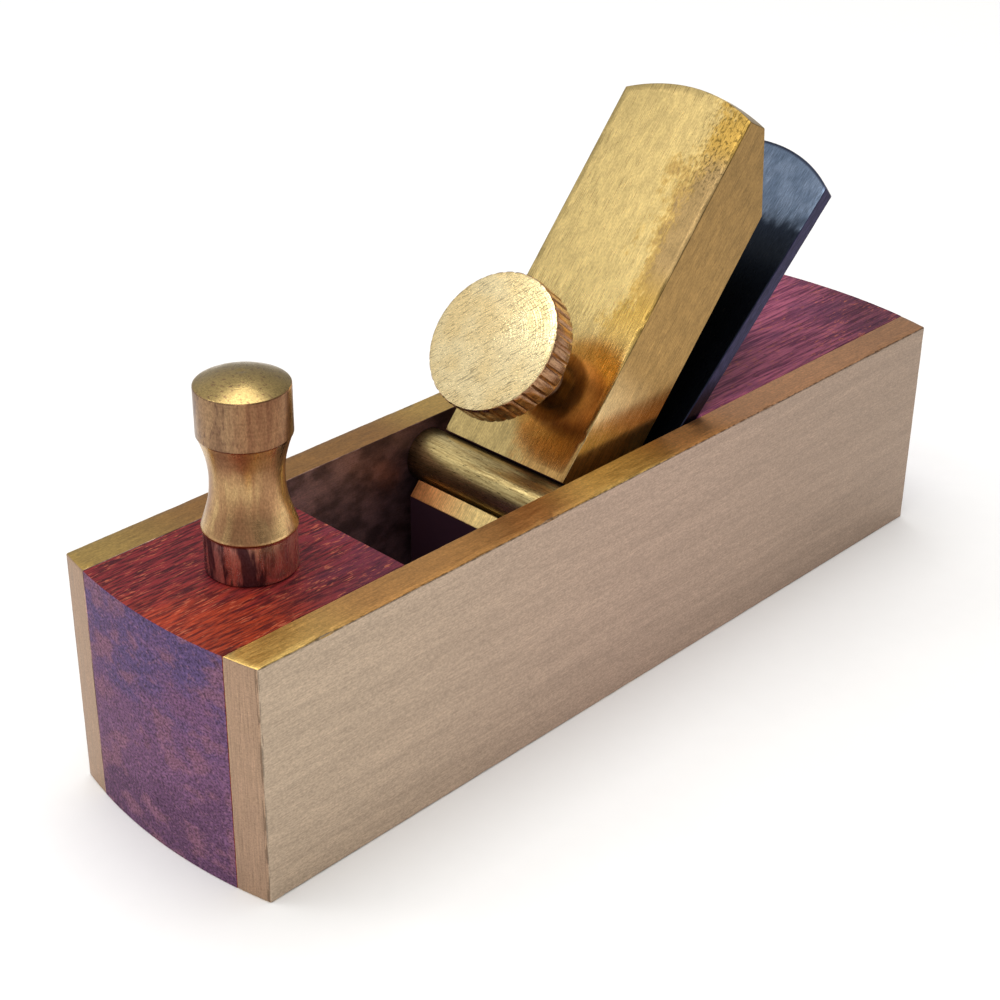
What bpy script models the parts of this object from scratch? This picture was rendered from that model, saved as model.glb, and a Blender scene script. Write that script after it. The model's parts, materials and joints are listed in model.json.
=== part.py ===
"""Miniature finger plane: two brass cheeks on hardwood blocks, a steel iron on a 42 degree bed,
a brass lever cap that tilts on a cross pin, its fluted thumbscrew, and a turned brass front knob.

Metres, +Z up. The toe faces -Y, the heel +Y, and the origin is the centre of the sole.
"""

import math

import bmesh
import bpy
from mathutils import Matrix, Vector

# Body
BODY_WIDTH = 0.0235
BODY_HEIGHT = 0.02165
BODY_SIDE_LENGTH = 0.0862
END_BULGE = 0.00143
CHEEK_THICKNESS = 0.0032
CHEEK_EASE = 0.00025
EASED_CORNER = math.radians(60)

# Gaps: between faces that are glued or pressed, and between faces that move on each other
SEAM = 0.0001
RUNNING_GAP = 0.00009

# Throat and mouth
THROAT_TOP_Y = -0.0254
MOUTH_FRONT_Y = -0.0160
MOUTH_WALL_HEIGHT = 0.0030
BED_TOE_HEIGHT = 0.0010

# Iron, from its cutting edge up the bed
BED_ANGLE = math.radians(42)
EDGE_Y = -0.01452
EDGE_Z = 0.00007
IRON_WIDTH = 0.0165
IRON_THICKNESS = 0.0015
IRON_LENGTH = 0.0610
IRON_END_BULGE = 0.0029
GRIND_ANGLE = math.radians(30)

# Cross pin, which is also the lever cap's hinge axis
PIN_Y = -0.00635
PIN_Z = 0.01818
PIN_RADIUS = 0.00245
PIN_SOCKET_DEPTH = 0.0020

# Lever cap: across is X, along is up its face, rise is square to its face, all from the cross pin
CAP_ANGLE = math.radians(49)
CAP_WIDTH = 0.0143
CAP_FACE_RISE = 0.0010
CAP_UNDERSIDE_RISE = -0.0072
CAP_NOSE_Y = -0.00985
CAP_NOSE_GAP = 0.00015
CAP_END_ALONG = 0.0379
CAP_END_BULGE = 0.0016
CAP_END_LEAN = math.radians(14)
CAP_BACK_CHAMFER = 0.03985

# Thumbscrew, square to the cap's face
SCREW_ALONG = 0.0103
SHANK_RADIUS = 0.0020
SHANK_TIP_RADIUS = 0.0012
SHANK_TIP_CHAMFER = 0.0007
TIP_GAP = 0.00012
BOSS_RADIUS = 0.0034
BOSS_BASE_RISE = 0.0030
HEAD_BASE_RISE = 0.0069
HEAD_TOP_RISE = 0.00985
HEAD_RADIUS = 0.0064
HEAD_PEAK = 0.00015
HEAD_CHAMFER = 0.0001
SHANK_TOP_RISE = 0.0085

# Front knob and its stud
KNOB_Y = -0.0338
KNOB_PROFILE = (  # height above the block, radius
    (0.00000, 0.00370),
    (0.00345, 0.00370),
    (0.00375, 0.00380),
    (0.00480, 0.00345),
    (0.00620, 0.00307),
    (0.00790, 0.00293),
    (0.00930, 0.00304),
    (0.01050, 0.00332),
    (0.01160, 0.00375),
    (0.01565, 0.00375),
)
KNOB_DOME = 0.0010
STUD_RADIUS = 0.0015
STUD_BELOW = 0.0085
STUD_ABOVE = 0.0080

# Hidden dowels that tie the cheeks to the blocks
DOWEL_RADIUS = 0.0012
DOWEL_SOCKET_DEPTH = 0.0018
DOWELS = {
    "toe_dowel_front": (-0.0390, 0.0070),
    "toe_dowel_rear": (-0.0250, 0.0070),
    "heel_dowel_front": (0.0080, 0.0065),
    "heel_dowel_rear": (0.0360, 0.0108),
}

# Colour, roughness and metallic value
SATIN_BRASS = ((0.62, 0.47, 0.25), 0.38, 1.0)
CHEEK_BRASS = ((0.56, 0.46, 0.32), 0.45, 1.0)
PIN_BRASS = ((0.42, 0.34, 0.16), 0.42, 1.0)
BLUED_STEEL = ((0.09, 0.11, 0.15), 0.40, 1.0)
RED_HARDWOOD = ((0.22, 0.045, 0.05), 0.55, 0.0)

# Meshing
ROUND_STEPS = 48
ARC_STEPS = 16
DOME_STEPS = 5
EASE_STEPS = 2
SHARP_CORNER = math.radians(30)
WELD_DISTANCE = 1e-6

# How far cutters reach: past the face they enter by, past a piece's sides, and through a piece
OVERSHOOT = 0.002
SIDE_MARGIN = 0.0005
CUTTER_DEPTH = 0.02

HALF_WIDTH = BODY_WIDTH / 2
CHEEK_INNER_X = HALF_WIDTH - CHEEK_THICKNESS
BLOCK_HALF_WIDTH = CHEEK_INNER_X - SEAM
SOCKET_END_X = CHEEK_INNER_X + DOWEL_SOCKET_DEPTH
PIN_SOCKET_END_X = CHEEK_INNER_X + PIN_SOCKET_DEPTH

# Side elevations are drawn in Y and Z and thickened along X
SIDE_VIEW = Matrix(((0, 0, 1, 0), (1, 0, 0, 0), (0, 1, 0, 0), (0, 0, 0, 1)))


def clear_scene():
    for obj in list(bpy.data.objects):
        bpy.data.objects.remove(obj, do_unlink=True)


def new_collection(name):
    collection = bpy.data.collections.new(name)
    bpy.context.scene.collection.children.link(collection)
    return collection


def material(name, finish):
    colour, roughness, metallic = finish
    made = bpy.data.materials.new(name)
    made.use_nodes = True
    shader = made.node_tree.nodes["Principled BSDF"]
    shader.inputs["Base Color"].default_value = (*colour, 1.0)
    shader.inputs["Roughness"].default_value = roughness
    shader.inputs["Metallic"].default_value = metallic
    return made


def add_object(name, mesh, collection):
    obj = bpy.data.objects.new(name, mesh)
    collection.objects.link(obj)
    return obj


def finish_piece(obj, made, smooth=False):
    obj.data.materials.clear()
    obj.data.materials.append(made)
    if smooth:
        obj.data.shade_smooth()
        obj.data.set_sharp_from_angle(angle=SHARP_CORNER)
    return obj


def prism(name, outline, thickness, placement, collection):
    """A flat outline thickened evenly about its own plane, as a closed mesh, moved by placement."""
    curve = bpy.data.curves.new(name, "CURVE")
    curve.dimensions = "2D"
    curve.fill_mode = "BOTH"
    curve.extrude = thickness / 2
    spline = curve.splines.new("POLY")
    spline.points.add(len(outline) - 1)
    for point, (a, b) in zip(spline.points, outline):
        point.co = (a, b, 0.0, 1.0)
    spline.use_cyclic_u = True
    drawn = add_object(name, curve, collection)
    depsgraph = bpy.context.evaluated_depsgraph_get()
    mesh = bpy.data.meshes.new_from_object(drawn.evaluated_get(depsgraph))
    bpy.data.objects.remove(drawn)
    bpy.data.curves.remove(curve)
    weld(mesh)
    mesh.transform(placement)
    mesh.name = name
    return add_object(name, mesh, collection)


def weld(mesh):
    build = bmesh.new()
    build.from_mesh(mesh)
    bmesh.ops.remove_doubles(build, verts=build.verts, dist=WELD_DISTANCE)
    bmesh.ops.recalc_face_normals(build, faces=build.faces)
    build.to_mesh(mesh)
    build.free()


def rod(name, radius, start, end, collection):
    """A round bar between two points."""
    start = Vector(start)
    end = Vector(end)
    along = end - start
    build = bmesh.new()
    bmesh.ops.create_cone(
        build,
        cap_ends=True,
        segments=ROUND_STEPS,
        radius1=radius,
        radius2=radius,
        depth=along.length,
    )
    turn = Vector((0, 0, 1)).rotation_difference(along).to_matrix().to_4x4()
    build.transform(Matrix.Translation((start + end) / 2) @ turn)
    mesh = bpy.data.meshes.new(name)
    build.to_mesh(mesh)
    build.free()
    return add_object(name, mesh, collection)


def turned(name, profile, collection):
    """A profile of (radius, height), from the top of the axis down its outer side, turned about Z."""
    mesh = bpy.data.meshes.new(name)
    vertices = [(radius, 0.0, height) for radius, height in profile]
    edges = [(i, i + 1) for i in range(len(profile) - 1)]
    mesh.from_pydata(vertices, edges, [])
    obj = add_object(name, mesh, collection)
    screw = obj.modifiers.new("turn", "SCREW")
    screw.steps = ROUND_STEPS
    screw.render_steps = ROUND_STEPS
    screw.use_merge_vertices = True
    screw.merge_threshold = WELD_DISTANCE
    screw.use_smooth_shade = True
    return obj


def cut(obj, cutter, operation="DIFFERENCE"):
    """Cuts obj with a cutter, which is kept as a guide and not rendered."""
    cutter.hide_render = True
    cutter.display_type = "WIRE"
    boolean = obj.modifiers.new(cutter.name, "BOOLEAN")
    boolean.operation = operation
    boolean.solver = "EXACT"
    boolean.object = cutter


def end_y(x):
    """Distance of the body's rounded end from the middle, at x across the body."""
    radius = (HALF_WIDTH**2 + END_BULGE**2) / (2 * END_BULGE)
    rise = math.sqrt(radius**2 - x**2) - math.sqrt(radius**2 - HALF_WIDTH**2)
    return BODY_SIDE_LENGTH / 2 + rise


def end_arc(x_from, x_to):
    """Points (x, y) along the heel's rounded end."""
    xs = [x_from + (x_to - x_from) * i / ARC_STEPS for i in range(ARC_STEPS + 1)]
    return [(x, end_y(x)) for x in xs]


def upright(outline, name, collection):
    """A plan outline in X and Y, standing on the sole and as tall as the body."""
    lift = Matrix.Translation((0, 0, BODY_HEIGHT / 2))
    return prism(name, outline, BODY_HEIGHT, lift, collection)


def on_iron(along, above=0.0):
    """Y and Z of a point along the iron's upper face from its edge, and above that face."""
    y = EDGE_Y + along * math.cos(BED_ANGLE) - above * math.sin(BED_ANGLE)
    z = EDGE_Z + along * math.sin(BED_ANGLE) + above * math.cos(BED_ANGLE)
    return y, z


def on_cap(y, z):
    """(along, rise) of a point in the lever cap's own frame."""
    dy = y - PIN_Y
    dz = z - PIN_Z
    along = dy * math.cos(CAP_ANGLE) + dz * math.sin(CAP_ANGLE)
    rise = dz * math.cos(CAP_ANGLE) - dy * math.sin(CAP_ANGLE)
    return along, rise


def make_cheek(name, side, parts, cutters, brass):
    outer = side * HALF_WIDTH
    inner = side * CHEEK_INNER_X
    heel = end_arc(inner, outer)
    toe = [(x, -y) for x, y in reversed(heel)]
    cheek = upright(heel + toe, name, parts)
    for dowel, (y, z) in DOWELS.items():
        start = (side * (CHEEK_INNER_X - OVERSHOOT), y, z)
        end = (side * (SOCKET_END_X + SEAM), y, z)
        cut(cheek, rod(f"{name}_{dowel}_socket", DOWEL_RADIUS + SEAM, start, end, cutters))
    start = (side * (CHEEK_INNER_X - OVERSHOOT), PIN_Y, PIN_Z)
    end = (side * (PIN_SOCKET_END_X + SEAM), PIN_Y, PIN_Z)
    cut(cheek, rod(f"{name}_pin_socket", PIN_RADIUS + SEAM, start, end, cutters))
    ease = cheek.modifiers.new("ease", "BEVEL")
    ease.width = CHEEK_EASE
    ease.segments = EASE_STEPS
    ease.limit_method = "ANGLE"
    ease.angle_limit = EASED_CORNER
    return finish_piece(cheek, brass)


def make_toe_block(parts, cutters, wood):
    heel_side = [(-BLOCK_HALF_WIDTH, MOUTH_FRONT_Y), (BLOCK_HALF_WIDTH, MOUTH_FRONT_Y)]
    toe = [(x, -y) for x, y in end_arc(BLOCK_HALF_WIDTH, -BLOCK_HALF_WIDTH)]
    block = upright(heel_side + toe, "toe_block", parts)
    slope = (MOUTH_FRONT_Y - THROAT_TOP_Y) / (BODY_HEIGHT - MOUTH_WALL_HEIGHT)
    throat = [
        (MOUTH_FRONT_Y, MOUTH_WALL_HEIGHT),
        (MOUTH_FRONT_Y + OVERSHOOT, MOUTH_WALL_HEIGHT),
        (MOUTH_FRONT_Y + OVERSHOOT, BODY_HEIGHT + OVERSHOOT),
        (THROAT_TOP_Y - slope * OVERSHOOT, BODY_HEIGHT + OVERSHOOT),
    ]
    cut(block, prism("throat_slope", throat, BODY_WIDTH, SIDE_VIEW, cutters))
    for dowel in ("toe_dowel_front", "toe_dowel_rear"):
        bore_for_dowel(block, dowel, cutters)
    start = (0, KNOB_Y, BODY_HEIGHT - STUD_BELOW - SEAM)
    end = (0, KNOB_Y, BODY_HEIGHT + OVERSHOOT)
    cut(block, rod("block_stud_hole", STUD_RADIUS + SEAM, start, end, cutters))
    return finish_piece(block, wood)


def make_heel_block(parts, cutters, wood):
    bed_at_toe = on_iron(0.0, -IRON_THICKNESS - SEAM)
    run = BED_TOE_HEIGHT - bed_at_toe[1]
    toe_y = bed_at_toe[0] + run / math.tan(BED_ANGLE)
    toe_side = [(BLOCK_HALF_WIDTH, toe_y), (-BLOCK_HALF_WIDTH, toe_y)]
    block = upright(end_arc(-BLOCK_HALF_WIDTH, BLOCK_HALF_WIDTH) + toe_side, "heel_block", parts)
    bed_low = on_iron(-OVERSHOOT, -IRON_THICKNESS - SEAM)
    bed_high = on_iron(IRON_LENGTH, -IRON_THICKNESS - SEAM)
    bed = [bed_low, bed_high, (bed_low[0] - OVERSHOOT, bed_high[1])]
    cut(block, prism("bed_slope", bed, BODY_WIDTH, SIDE_VIEW, cutters))
    for dowel in ("heel_dowel_front", "heel_dowel_rear"):
        bore_for_dowel(block, dowel, cutters)
    return finish_piece(block, wood)


def bore_for_dowel(block, dowel, cutters):
    y, z = DOWELS[dowel]
    reach = BLOCK_HALF_WIDTH + OVERSHOOT
    bore = rod(f"{dowel}_bore", DOWEL_RADIUS + SEAM, (-reach, y, z), (reach, y, z), cutters)
    cut(block, bore)


def make_cross_bars(parts, brass, pin_brass):
    for name, (y, z) in DOWELS.items():
        dowel = rod(name, DOWEL_RADIUS, (-SOCKET_END_X, y, z), (SOCKET_END_X, y, z), parts)
        finish_piece(dowel, brass, smooth=True)
    start = (-PIN_SOCKET_END_X, PIN_Y, PIN_Z)
    end = (PIN_SOCKET_END_X, PIN_Y, PIN_Z)
    finish_piece(rod("cross_pin", PIN_RADIUS, start, end, parts), pin_brass, smooth=True)


def make_iron(parts, cutters, steel):
    """The flat blade, bevel down, in its own frame: Y up the bed, Z square to it, origin at the edge."""
    grind = IRON_THICKNESS / math.tan(GRIND_ANGLE)
    side = [
        (0.0, 0.0),
        (grind, -IRON_THICKNESS),
        (IRON_LENGTH + OVERSHOOT, -IRON_THICKNESS),
        (IRON_LENGTH + OVERSHOOT, 0.0),
    ]
    iron = prism("iron", side, IRON_WIDTH, SIDE_VIEW, parts)
    half = IRON_WIDTH / 2
    corner = IRON_LENGTH - IRON_END_BULGE
    outline = rounded_end_outline(half, corner, IRON_END_BULGE)
    plan = prism("iron_plan", outline, CUTTER_DEPTH, Matrix(), cutters)
    cut(iron, plan, "INTERSECT")
    for guide in (iron, plan):
        guide.location = (0, EDGE_Y, EDGE_Z)
        guide.rotation_euler = (BED_ANGLE, 0, 0)
    return finish_piece(iron, steel)


def rounded_end_outline(half, corner, bulge):
    """A plan wider than the piece it trims, whose far end is an arc rising by bulge between its corners."""
    radius = (half**2 + bulge**2) / (2 * bulge)
    centre = corner + bulge - radius
    reach = half + SIDE_MARGIN
    sweep = math.asin(reach / radius)
    outline = [(-reach, -CUTTER_DEPTH), (reach, -CUTTER_DEPTH)]
    for i in range(ARC_STEPS + 1):
        angle = sweep - 2 * sweep * i / ARC_STEPS
        outline.append((radius * math.sin(angle), centre + radius * math.cos(angle)))
    return outline


def make_lever_cap(parts, cutters, brass):
    slot_radius = PIN_RADIUS + RUNNING_GAP
    cos = math.cos(CAP_ANGLE)
    sin = math.sin(CAP_ANGLE)
    nose_along = (CAP_NOSE_Y - PIN_Y + CAP_FACE_RISE * sin) / cos
    nose_run = (CAP_NOSE_Y - EDGE_Y + CAP_NOSE_GAP * math.sin(BED_ANGLE)) / math.cos(BED_ANGLE)
    nose_foot = on_cap(*on_iron(nose_run, CAP_NOSE_GAP))
    lean = CAP_ANGLE - BED_ANGLE
    heel_of_land = nose_foot[0] + (nose_foot[1] - CAP_UNDERSIDE_RISE) / math.tan(lean)
    slot = []
    for i in range(ARC_STEPS + 1):
        angle = math.pi + math.pi * i / ARC_STEPS
        slot.append((slot_radius * math.cos(angle), slot_radius * math.sin(angle)))
    side = [
        (nose_along, CAP_FACE_RISE),
        (-slot_radius, CAP_FACE_RISE),
        *slot,
        (slot_radius, CAP_FACE_RISE),
        (CAP_BACK_CHAMFER + CAP_FACE_RISE, CAP_FACE_RISE),
        (CAP_BACK_CHAMFER + CAP_UNDERSIDE_RISE, CAP_UNDERSIDE_RISE),
        (heel_of_land, CAP_UNDERSIDE_RISE),
        nose_foot,
    ]
    cap = prism("lever_cap", side, CAP_WIDTH, SIDE_VIEW, parts)
    outline = rounded_end_outline(CAP_WIDTH / 2, CAP_END_ALONG, CAP_END_BULGE)
    shear = Matrix()
    shear[1][2] = -math.tan(CAP_END_LEAN)
    shear[1][3] = CAP_FACE_RISE * math.tan(CAP_END_LEAN)
    plan = prism("cap_plan", outline, CUTTER_DEPTH, shear, cutters)
    cut(cap, plan, "INTERSECT")
    start = (0, SCREW_ALONG, CAP_UNDERSIDE_RISE - OVERSHOOT)
    end = (0, SCREW_ALONG, CAP_FACE_RISE + OVERSHOOT)
    bore = rod("cap_screw_bore", SHANK_RADIUS + RUNNING_GAP, start, end, cutters)
    cut(cap, bore)
    for guide in (cap, plan, bore):
        guide.location = (0, PIN_Y, PIN_Z)
        guide.rotation_euler = (CAP_ANGLE, 0, 0)
    return finish_piece(cap, brass)


def shank_tip_rise():
    """Where the screw's end stands in the cap's frame: just clear of the iron's upper face."""
    along, rise = on_cap(*on_iron(0.0))
    slope = math.tan(CAP_ANGLE - BED_ANGLE)
    iron_rise = rise - (SCREW_ALONG - along) * slope
    return iron_rise + SHANK_TIP_RADIUS * slope + TIP_GAP


def make_thumbscrew(cap, parts, brass):
    tip = shank_tip_rise()
    shank_profile = [
        (0.0, SHANK_TOP_RISE),
        (SHANK_RADIUS, SHANK_TOP_RISE),
        (SHANK_RADIUS, tip + SHANK_TIP_CHAMFER),
        (SHANK_TIP_RADIUS, tip),
        (0.0, tip),
    ]
    shank = turned("thumbscrew_shank", shank_profile, parts)
    shank.parent = cap
    shank.location = (0, SCREW_ALONG, 0)
    finish_piece(shank, brass)
    socket_top = SHANK_TOP_RISE + RUNNING_GAP
    socket_radius = SHANK_RADIUS + RUNNING_GAP
    rim_top = HEAD_TOP_RISE - HEAD_PEAK
    head_profile = [
        (0.0, HEAD_TOP_RISE),
        (HEAD_RADIUS - HEAD_CHAMFER, rim_top),
        (HEAD_RADIUS, rim_top - HEAD_CHAMFER),
        (HEAD_RADIUS, HEAD_BASE_RISE + HEAD_CHAMFER),
        (HEAD_RADIUS - HEAD_CHAMFER, HEAD_BASE_RISE),
        (BOSS_RADIUS, HEAD_BASE_RISE),
        (BOSS_RADIUS, BOSS_BASE_RISE + HEAD_CHAMFER),
        (BOSS_RADIUS - HEAD_CHAMFER, BOSS_BASE_RISE),
        (socket_radius, BOSS_BASE_RISE),
        (socket_radius, socket_top),
        (0.0, socket_top),
    ]
    head = turned("thumbscrew_head", head_profile, parts)
    head.parent = shank
    finish_piece(head, brass)


def make_knob(parts, brass):
    base = BODY_HEIGHT + SEAM
    top_height, top_radius = KNOB_PROFILE[-1]
    shares = [i / DOME_STEPS for i in range(DOME_STEPS)]
    profile = [(top_radius * share, base + top_height + KNOB_DOME * (1 - share**2)) for share in shares]
    profile += [(radius, base + height) for height, radius in reversed(KNOB_PROFILE)]
    socket = STUD_RADIUS + SEAM
    socket_top = BODY_HEIGHT + STUD_ABOVE + SEAM
    profile += [(socket, base), (socket, socket_top), (0.0, socket_top)]
    knob = turned("front_knob", profile, parts)
    knob.location = (0, KNOB_Y, 0)
    finish_piece(knob, brass)
    start = (0, KNOB_Y, BODY_HEIGHT - STUD_BELOW)
    end = (0, KNOB_Y, BODY_HEIGHT + STUD_ABOVE)
    finish_piece(rod("knob_stud", STUD_RADIUS, start, end, parts), brass, smooth=True)


def main():
    clear_scene()
    parts = new_collection("finger_plane")
    cutters = new_collection("finger_plane_cutters")
    brass = material("satin_brass", SATIN_BRASS)
    cheek_brass = material("brushed_cheek_brass", CHEEK_BRASS)
    pin_brass = material("dull_pin_brass", PIN_BRASS)
    steel = material("blued_steel", BLUED_STEEL)
    wood = material("red_hardwood", RED_HARDWOOD)
    make_cheek("left_cheek", -1, parts, cutters, cheek_brass)
    make_cheek("right_cheek", 1, parts, cutters, cheek_brass)
    make_toe_block(parts, cutters, wood)
    make_heel_block(parts, cutters, wood)
    make_cross_bars(parts, brass, pin_brass)
    make_iron(parts, cutters, steel)
    cap = make_lever_cap(parts, cutters, brass)
    make_thumbscrew(cap, parts, brass)
    make_knob(parts, brass)


main()
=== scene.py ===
"""The looks of the miniature finger plane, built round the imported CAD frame.

Every piece is a finer mesh than its CAD node, with rounded and worn edges, flutes and threads.
The finishes are procedural: brushed and turned brass, blued steel and red hardwood.
Metres, +Z up. The toe faces -Y, the heel +Y, and +X is across the body.
"""

import json
import math

import bmesh
import bpy
from mathutils import Matrix, Vector, noise


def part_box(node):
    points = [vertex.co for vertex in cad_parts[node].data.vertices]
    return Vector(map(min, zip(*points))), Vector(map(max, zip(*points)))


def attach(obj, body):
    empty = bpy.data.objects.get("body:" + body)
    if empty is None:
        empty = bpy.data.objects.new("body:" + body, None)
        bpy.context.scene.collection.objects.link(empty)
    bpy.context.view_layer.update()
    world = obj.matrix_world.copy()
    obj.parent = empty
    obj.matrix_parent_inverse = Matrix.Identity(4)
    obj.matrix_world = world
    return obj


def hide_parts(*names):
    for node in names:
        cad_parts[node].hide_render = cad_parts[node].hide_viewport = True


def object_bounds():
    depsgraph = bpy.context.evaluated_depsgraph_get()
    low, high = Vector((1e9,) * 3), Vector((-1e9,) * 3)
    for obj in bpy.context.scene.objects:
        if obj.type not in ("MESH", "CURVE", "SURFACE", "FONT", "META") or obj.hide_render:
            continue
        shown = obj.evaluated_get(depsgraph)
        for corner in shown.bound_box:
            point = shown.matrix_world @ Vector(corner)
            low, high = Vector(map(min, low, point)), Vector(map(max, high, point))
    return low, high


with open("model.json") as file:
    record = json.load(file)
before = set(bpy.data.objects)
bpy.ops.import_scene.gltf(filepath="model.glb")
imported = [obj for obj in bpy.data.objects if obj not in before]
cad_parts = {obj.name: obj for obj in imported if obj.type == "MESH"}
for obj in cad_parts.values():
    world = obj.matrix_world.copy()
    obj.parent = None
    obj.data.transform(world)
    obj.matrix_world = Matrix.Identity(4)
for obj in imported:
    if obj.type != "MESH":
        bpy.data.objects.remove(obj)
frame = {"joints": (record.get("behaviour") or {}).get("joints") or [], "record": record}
cad_low, cad_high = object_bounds()

# ---------------------------------------------------------------------------------------------------
# Sizes, from the frame where it states them
# ---------------------------------------------------------------------------------------------------

MM = 0.001
X, Y, Z = range(3)

joints = {joint["name"]: joint for joint in frame["joints"]}
PIN_CENTRE = Vector(joints["lever_cap_tilt"]["pos_m"])
SCREW_FOOT = Vector(joints["thumbscrew_turn"]["pos_m"])
SCREW_UP = Vector(joints["thumbscrew_turn"]["axis"])
BED_UP = Vector(joints["iron_slide"]["axis"])
CAP_ANGLE = math.atan2(-SCREW_UP.y, SCREW_UP.z)
BED_ANGLE = math.atan2(BED_UP.z, BED_UP.y)

# Body. JOINT_LINE is the gap between wood and brass, and SEAM is how far bores reach past what they hold.
HALF_WIDTH = cad_high.x
HALF_LENGTH = cad_high.y
CHEEK_INNER_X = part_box("right_cheek")[0].x
BODY_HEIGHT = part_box("toe_block")[1].z
END_BULGE = 1.43 * MM
JOINT_LINE = 0.03 * MM
THROAT_TOP_Y = -25.4 * MM
MOUTH_FRONT_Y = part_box("toe_block")[1].y
MOUTH_WALL_HEIGHT = 3.0 * MM
BED_TOE_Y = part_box("heel_block")[0].y
BED_TOE_HEIGHT = 1.0 * MM
SEAM = 0.1 * MM
HOLE_GAP = 0.02 * MM

# Dowels and pin, which end in sockets in both cheeks
DOWELS = ("toe_dowel_front", "toe_dowel_rear", "heel_dowel_front", "heel_dowel_rear")
ROD_EASE = 0.15 * MM

# Iron, in its own frame: Y up the bed from the cutting edge, Z square to its upper face
IRON_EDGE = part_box("iron")[0]
IRON_PLACE = (0, IRON_EDGE.y, IRON_EDGE.z)
IRON_HALF_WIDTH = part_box("iron")[1].x
IRON_LENGTH = (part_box("iron")[1].z - IRON_EDGE.z) / math.sin(BED_ANGLE)
IRON_THICKNESS = 1.5 * MM
IRON_END_BULGE = 2.9 * MM
IRON_END_RADIUS = (IRON_HALF_WIDTH**2 + IRON_END_BULGE**2) / (2 * IRON_END_BULGE)
GRIND_ANGLE = math.radians(30)

# Lever cap, in its own frame: Y up its face from the cross pin, Z square to its face
CAP_HALF_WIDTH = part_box("lever_cap")[1].x
CAP_FACE_RISE = 1.0 * MM
CAP_UNDERSIDE_RISE = -7.2 * MM
CAP_NOSE_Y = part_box("lever_cap")[0].y
CAP_NOSE_GAP = 0.15 * MM
CAP_END_ALONG = 37.9 * MM
CAP_END_BULGE = 1.6 * MM
CAP_END_LEAN = math.radians(14)
CAP_BACK_CHAMFER = 39.85 * MM
PIN_RADIUS = (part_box("cross_pin")[1].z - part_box("cross_pin")[0].z) / 2
GROOVE_RADIUS = PIN_RADIUS + 0.09 * MM

# Thumbscrew, from the foot of its axis on the line through the cross pin, up its axis
SHANK_RADIUS = 2.0 * MM
SHANK_BORE_RADIUS = 2.09 * MM
SHANK_TIP_RADIUS = 1.2 * MM
SHANK_TIP_RISE = -4.4 * MM
SHANK_TIP_LENGTH = 0.7 * MM
SHANK_TOP_RISE = 8.5 * MM
SHANK_PITCH = 0.7 * MM
SHANK_THREAD_DEPTH = 0.38 * MM
BOSS_RADIUS = 3.4 * MM
BOSS_BASE_RISE = 3.0 * MM
HEAD_BASE_RISE = 6.9 * MM
HEAD_TOP_RISE = 9.85 * MM
HEAD_RADIUS = 6.4 * MM
HEAD_DOME = 0.15 * MM
FLUTES = 38
FLUTE_POINTS = 9
FLUTE_DEPTH = 0.22 * MM
FLUTE_UNEVENNESS = 0.25
FLUTE_LAND = 0.62
FACE_STEPS = 15
RIM_TO_FACE = 0.35 * MM
RIM_TO_UNDERSIDE = 0.5 * MM
BOSS_EASE = 0.15 * MM

# Front knob and stud. The knob's outline is (height above the block, radius) in millimetres.
KNOB_Y = (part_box("front_knob")[0].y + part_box("front_knob")[1].y) / 2
KNOB_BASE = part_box("front_knob")[0].z
KNOB_FOOT = ((0.0, 3.70), (3.45, 3.70), (3.60, 3.80), (3.75, 3.80))
KNOB_NECK = (
    (3.75, 3.80),
    (4.80, 3.45),
    (6.20, 3.07),
    (7.90, 2.93),
    (9.30, 3.04),
    (10.50, 3.32),
    (11.58, 3.68),
)
KNOB_HEAD = ((11.60, 3.75), (15.65, 3.75))
KNOB_DOME = 1.0 * MM
KNOB_PIT_RADIUS = 0.35 * MM
KNOB_PIT_DEPTH = 0.06 * MM
KNOB_EASE = 0.10 * MM
KNOB_SEGMENTS = 128
DOME_STEPS = 20
NECK_STEPS = 6
STUD_RADIUS = 1.5 * MM
STUD_PITCH = 0.5 * MM
STUD_THREAD_DEPTH = 0.27 * MM
STUD_TIP_LENGTH = 0.4 * MM

# Threads: the flat crest and the flank as shares of half the pitch, and the points of the mesh
THREAD_CREST = 0.12
THREAD_FLANK = 0.68
THREAD_STEPS = 12
THREAD_TIP_STEPS = 3
THREAD_SEGMENTS = 48

# Edges: what counts as one, and how waves wear it everywhere, and nicks where the noise passes a level
SHARP_CORNER = math.radians(25)
SMOOTH_CORNER = math.radians(40)
WORN_FLATNESS = 0.985
WAVE_SHARE = 0.4
NICK_SHARE = 2.0
NICK_LEVEL = 0.25
NICK_SPACING = 2.5

# Fineness of the meshes
EDGE_STEPS = 3
CHEEK_SLICES = 4
CHEEK_STEPS = 126
CHEEK_END_STEPS = 30
BLOCK_SLICES = 24
CAP_SLICES = 24
IRON_SLICES = 28
BAR_STEPS = 48
GROOVE_STEPS = 24
ROD_SEGMENTS = 96
DRILL_SEGMENTS = 48


def end_y(x):
    """How far the body's rounded ends reach from the middle, at x across the body."""
    radius = (HALF_WIDTH**2 + END_BULGE**2) / (2 * END_BULGE)
    return HALF_LENGTH - radius + math.sqrt(radius**2 - x**2)


def run(start, end, count):
    """count even points from start up to, and without, end."""
    return [tuple(Vector(start).lerp(Vector(end), i / count)) for i in range(count)]


# ---------------------------------------------------------------------------------------------------
# Mesh building
# ---------------------------------------------------------------------------------------------------


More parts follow.
